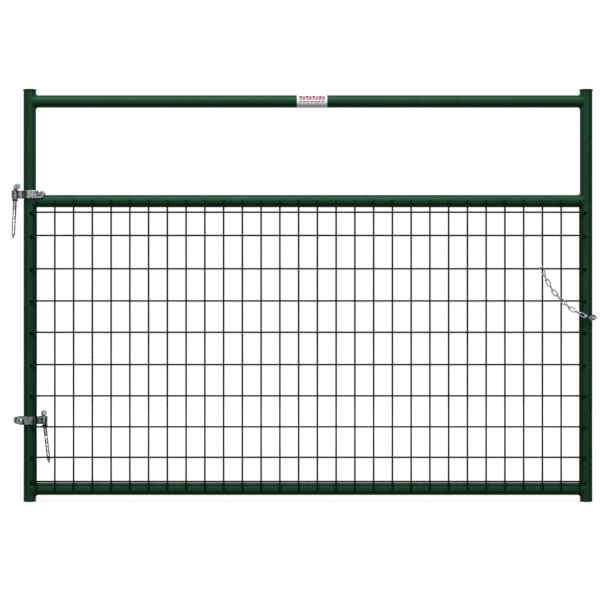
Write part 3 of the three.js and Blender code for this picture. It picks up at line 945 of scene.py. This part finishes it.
def hex_nut(name, place):
    """A chamfered hexagon nut on the back ear."""
    node = name + "_clamp_nut"
    half = NUT_HEIGHT / 2
    bore = BOLT_RADIUS + 0.05 * MM
    mouth = bore + NUT_BORE_CHAMFER
    flat = NUT_FLATS / 2
    face = flat * NUT_FACE
    rings = [[] for _ in range(8)]
    for k in range(NUT_SIDES):
        turn = 2 * math.pi * k / NUT_SIDES
        corner = flat / math.cos((turn + math.pi / 6) % (math.pi / 3) - math.pi / 6)
        fall = max(corner - face, 0) * math.tan(math.radians(30))
        rows = [
            (bore, -half + NUT_BORE_CHAMFER), (bore, half - NUT_BORE_CHAMFER), (mouth, half),
            (face, half), (corner, half - fall), (corner, -half + fall),
            (face, -half), (mouth, -half),
        ]
        for ring, (radius, height) in zip(rings, rows):
            ring.append(Vector((radius * math.cos(turn), radius * math.sin(turn), height)))
    lying = (
        Matrix.Translation((BOLT_REACH, EAR_FACE + FACE_GAP + half, BOLT_LIFT))
        @ Matrix.Rotation(math.pi / 2, 4, "X")
    )
    shapes = [loft(rings, loop=True)]
    piece(node + "_hexagon", name + "_clamp", shapes, bolt_zinc, [node], place @ lying, 25)


def lag_hook(name, place):
    """A bent pin and shank in one, with a lag thread cut in its lower part."""
    node = name + "_hook"
    line, radii = [], []
    for back, radius in PIN_END:
        line.append(Vector((0, -PIN_LENGTH + back * MM, PIN_HEIGHT)))
        radii.append(radius * MM)
    for k in range(25):
        turn = math.radians(90 * k / 24)
        y = -HOOK_BEND * (1 - math.sin(turn))
        line.append(Vector((0, y, PIN_HEIGHT - HOOK_BEND * (1 - math.cos(turn)))))
        ease = max(0.0, (k - 12) / 12)
        radii.append(PIN_RADIUS + (SHANK_RADIUS - PIN_RADIUS) * ease ** 2 * (3 - 2 * ease))
    bottom = PIN_HEIGHT - SHANK_LENGTH
    shoulder = PIN_HEIGHT - HOOK_BEND
    point_top = bottom + SHANK_POINT
    thread_top = bottom + SHANK_THREAD
    for height in (shoulder - 4 * MM, thread_top + 2 * MM):
        line.append(Vector((0, 0, height)))
        radii.append(SHANK_RADIUS)
    steps = int((thread_top - bottom) / (LAG_PITCH / 8))
    for k in range(steps):
        height = thread_top - (thread_top - bottom) * k / steps
        taper = min(1.0, (height - bottom) / (point_top - bottom))
        line.append(Vector((0, 0, height)))
        radii.append(max(0.5 * MM, SHANK_RADIUS * taper ** 0.85))
    line.append(Vector((0, 0, bottom)))
    radii.append(0.25 * MM)
    points, faces = loft(sweep(line, X, lambda i: circle(radii[i], 40)))
    seed = bpy.data.meshes.new("seed")
    seed.from_pydata(points, [], faces)
    values = {
        "Pitch": LAG_PITCH, "Depth": LAG_GROOVE, "From": bottom + 3 * MM, "To": thread_top,
        "Run Out": LAG_RUN_OUT, "Material": hook_zinc,
    }
    mesh = grow(screw_thread, seed, values)
    settle(node + "_lag", name + "_hook", mesh, [hook_zinc], [node], place, 30)


def keeper_ring(name, place):
    """A rubber ring pushed up the shank under the barrel."""
    node = name + "_keeper_ring"
    profile = []
    for k in range(18):
        turn = 2 * math.pi * k / 18
        radius = RING_RADIUS + RING_HALF_WIDTH * math.cos(turn)
        profile.append((radius, RING_HEIGHT + RING_HALF_HEIGHT * math.sin(turn)))
    shapes = [loft(turned(profile, 56), loop=True)]
    piece(node + "_band", name + "_hook", shapes, ring_rubber, [node], place, 60)


def hinge(name, turn, flip, hook_lean, hook_turn):
    axis = middle("hinge_upright")
    height = middle(name + "_clamp").z
    angle = math.radians(turn)
    clamp = (
        Matrix.Translation((axis.x, axis.y, height))
        @ Matrix.Rotation(angle, 4, "Z")
        @ Matrix.Rotation(math.radians(flip), 4, "X")
    )
    across, back = HINGE_OFFSET * math.cos(angle), HINGE_OFFSET * math.sin(angle)
    barrel = Vector((axis.x - across, axis.y - back, height))
    hook = (
        Matrix.Translation(barrel)
        @ Matrix.Rotation(math.radians(hook_lean), 4, "Y")
        @ Matrix.Rotation(math.radians(hook_turn), 4, "Z")
    )
    strap(name, clamp)
    carriage_bolt(name, clamp)
    hex_nut(name, clamp)
    lag_hook(name, hook)
    keeper_ring(name, hook)


for settings in HINGES:
    hinge(**settings)


# ---------------------------------------------------------------- latch chain
def bent_bar(name, body, path, up, radius, sides, material, replaced, place=None):
    """A round bar along a flat path, with softly rounded ends."""
    tip, neck = radius * 0.55, radius * 0.88
    radii = [tip, neck] + [radius] * (len(path) - 2) + [neck, tip]
    along_start = (path[0] - path[1]).normalized() * radius * 0.35
    along_end = (path[-1] - path[-2]).normalized() * radius * 0.35
    line = [path[0] + along_start * 0.6, path[0] + along_start * 0.1] + path[1:-1]
    line += [path[-1] + along_end * 0.1, path[-1] + along_end * 0.6]
    rings = sweep(line, up, lambda i: circle(radii[i], sides))
    return piece(name, body, [loft(rings)], material, replaced, place, 50)


def chain_staple():
    low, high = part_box("chain_staple")
    centre = middle("chain_staple")
    round_ = (high.z - low.z) / 2 - STAPLE_WIRE
    knee = high.x - STAPLE_WIRE - round_
    path = [Vector((low.x - STAPLE_ROOT, 0, round_))]
    path += [Vector((knee + p.x, 0, -p.y)) for p in arc((0, 0), round_, -90, 90, 24)]
    path.append(Vector((low.x - STAPLE_ROOT, 0, -round_)))
    place = Matrix.Translation((0, centre.y, centre.z))
    bent_bar(
        "chain_staple_bar", "leaf", path, Y, STAPLE_WIRE, 20, frame_green,
        ["chain_staple"], place,
    )
    points, edges, sizes = [], [], []
    for foot in (round_, -round_):
        start = len(points)
        for k in range(STAPLE_BEAD_STEPS):
            turn = 2 * math.pi * k / STAPLE_BEAD_STEPS
            y = STAPLE_BEAD_RING * math.sin(turn)
            z = centre.z + foot + STAPLE_BEAD_RING * math.cos(turn)
            points.append(Vector((low.x - 0.5 * MM, y, z)))
            sizes.append(STAPLE_BEAD_RADIUS)
            edges.append((start + k, start + (k + 1) % STAPLE_BEAD_STEPS))
    values = {"Ripple": 0.12, "Ripple Step": 1.6, "Sides": 10, "Material": frame_green}
    mesh = grow(bead, seed_mesh(points, edges, bead=sizes), values)
    settle("staple_weld_beads", "leaf", mesh, [frame_green], crease=60)


def own_axes(node):
    """The middle of a flat ring and its directions: along it, across it and square to it."""
    corners = np.array([v.co for v in frame["nodes"][node].data.vertices], float)
    mean = corners.mean(0)
    directions = np.linalg.svd(corners - mean, full_matrices=False)[2]
    along, across = Vector(directions[0]), Vector(directions[1])
    if along.z < 0:
        along.negate()
    square = along.cross(across).normalized()
    across = square.cross(along).normalized()
    return Vector(mean), along, across, square


def link_seed():
    """A link's middle line, with a swell on one flank where its wire is butt welded."""
    points = []
    for side in (1, -1):
        for k in range(21):
            turn = math.radians(-90 + 9 * k)
            x = side * (LINK_STRAIGHT + LINK_ROUND * math.cos(turn))
            points.append(Vector((x, side * LINK_ROUND * math.sin(turn), 0)))
        for k in range(1, 8):
            points.append(Vector((side * LINK_STRAIGHT * (1 - k / 4), side * LINK_ROUND, 0)))
    sizes = []
    for p in points:
        swell = math.exp(-((p.x / (1.3 * MM)) ** 2)) if p.y > LINK_ROUND * 0.9 else 0.0
        sizes.append(LINK_WIRE * (1 + 0.13 * swell))
    edges = [(k, (k + 1) % len(points)) for k in range(len(points))]
    return seed_mesh(points, edges, bead=sizes)


def chain_links():
    values = {"Ripple": 0.0, "Ripple Step": 1.0, "Sides": 12, "Material": chain_zinc}
    for number in range(1, LINKS + 1):
        node = f"chain_link_{number:02d}"
        centre, along, across, square = own_axes(node)
        place = Matrix.Translation(centre) @ Matrix((along, across, square)).transposed().to_4x4()
        mesh = grow(bead, link_seed(), values)
        settle(node + "_ring", f"link_{number:02d}", mesh, [chain_zinc], [node], place, 60)


def chain_end_hook():
    """An open link: the last link sits in its closed end, and its other end goes over a wire."""
    joint = [j for j in frame["joints"] if j["child"] == "end_hook"][0]
    along = own_axes("chain_end_hook")[1]
    level = along.cross(Z).normalized()
    across = level.cross(along).normalized()
    square = along.cross(across)
    low = LINK_ROUND - 2 * LINK_WIRE - LINK_GAP
    ends = (low + END_HOOK_CLOSE, low + END_HOOK_CLOSE / 2)
    path = [Vector((x, -LINK_ROUND, 0)) for x in ends]
    path += arc((low, 0), LINK_ROUND, -90, -270, 24)
    path.append(Vector((END_HOOK_REACH / 2, LINK_ROUND, 0)))
    path += arc((END_HOOK_REACH, 0), LINK_ROUND, 90, -90, 24)
    path.append(Vector((END_HOOK_REACH - END_HOOK_LIP, -LINK_ROUND, 0)))
    axes = Matrix((along, across, square)).transposed().to_4x4()
    bent_bar(
        "chain_end_hook_bar", "end_hook", path, Z, LINK_WIRE, 14, chain_zinc,
        ["chain_end_hook"], Matrix.Translation(Vector(joint["pos_m"])) @ axes,
    )


chain_staple()
chain_links()
chain_end_hook()


# ---------------------------------------------------------------- stage, light and camera
def camera_only(thing):
    thing.visible_diffuse = False
    thing.visible_glossy = False
    thing.visible_transmission = False
    thing.visible_volume_scatter = False
    thing.visible_shadow = False


def studio():
    centre = (cad_box[0] + cad_box[1]) / 2
    bpy.ops.mesh.primitive_uv_sphere_add(
        segments=64, ring_count=32, radius=BACKDROP_RADIUS, location=centre,
    )
    backdrop = bpy.context.object
    backdrop.name = "backdrop"
    glow = bpy.data.materials.new("backdrop_white")
    glow.use_nodes = True
    nodes = glow.node_tree.nodes
    nodes.remove(nodes["Principled BSDF"])
    light = nodes.new("ShaderNodeEmission")
    light.inputs["Color"].default_value = (1, 1, 1, 1)
    light.inputs["Strength"].default_value = 1.0
    glow.node_tree.links.new(light.outputs[0], nodes["Material Output"].inputs["Surface"])
    backdrop.data.materials.append(glow)
    camera_only(backdrop)

    bpy.ops.mesh.primitive_plane_add(size=FLOOR_SIZE, location=(centre.x, centre.y, -0.0005))
    floor = bpy.context.object
    floor.name = "floor"
    paint, surface = shader("floor_white", (FLOOR_GREY, FLOOR_GREY, FLOOR_GREY), 0.9)
    surface.inputs["Emission Color"].default_value = (1, 1, 1, 1)
    surface.inputs["Specular IOR Level"].default_value = 0.0
    nodes, links = paint.node_tree.nodes, paint.node_tree.links
    place = nodes.new("ShaderNodeTexCoord")
    distance = nodes.new("ShaderNodeVectorMath")
    distance.operation = "LENGTH"
    links.new(place.outputs["Object"], distance.inputs[0])
    bright = spread(paint, distance.outputs["Value"], *FLOOR_GLOW, 1.0, 3.0)
    join(paint, bright, surface, "Emission Strength")
    floor.data.materials.append(paint)
    floor.visible_diffuse = False
    floor.visible_glossy = False

    def softbox(name, position, power, glossy=True):
        data = bpy.data.lights.new(name, "AREA")
        data.shape = "RECTANGLE"
        data.size, data.size_y = SOFTBOX_SIZE
        data.energy = power
        lamp = bpy.data.objects.new(name, data)
        lamp.location = position
        lamp.rotation_euler = (centre - Vector(position)).to_track_quat("-Z", "Y").to_euler()
        lamp.visible_camera = False
        lamp.visible_glossy = glossy
        bpy.context.scene.collection.objects.link(lamp)

    softbox("key_softbox", (centre.x - 0.2, -2.8, 5.1), KEY_POWER)
    softbox("back_fill", (centre.x, 5.0, 2.2), FILL_POWER, glossy=False)

    world = bpy.data.worlds.new("studio")
    bpy.context.scene.world = world
    world.use_nodes = True
    nodes, links = world.node_tree.nodes, world.node_tree.links
    place = nodes.new("ShaderNodeTexCoord")
    split = nodes.new("ShaderNodeSeparateXYZ")
    forward = nodes.new("ShaderNodeMapRange")
    forward.inputs["From Min"].default_value = -1.0
    shade = nodes.new("ShaderNodeValToRGB")
    for position, grey in WORLD_SHADES:
        if 0 < position < 1:
            stop = shade.color_ramp.elements.new(position)
        else:
            stop = shade.color_ramp.elements[round(position)]
        stop.color = (0.92 * grey, 0.97 * grey, grey, 1)
    links.new(place.outputs["Generated"], split.inputs["Vector"])
    links.new(split.outputs["Y"], forward.inputs["Value"])
    links.new(forward.outputs["Result"], shade.inputs["Fac"])
    links.new(shade.outputs["Color"], nodes["Background"].inputs["Color"])

    lens = bpy.data.cameras.new("camera")
    lens.sensor_width = SENSOR_WIDTH
    lens.lens = FOCAL_LENGTH
    lens.clip_end = 200
    camera = bpy.data.objects.new("camera", lens)
    camera.location = CAMERA_PLACE
    camera.rotation_euler = (math.pi / 2, 0, 0)
    bpy.context.scene.collection.objects.link(camera)
    bpy.context.scene.camera = camera
    bpy.context.scene.view_settings.view_transform = "Standard"


studio()
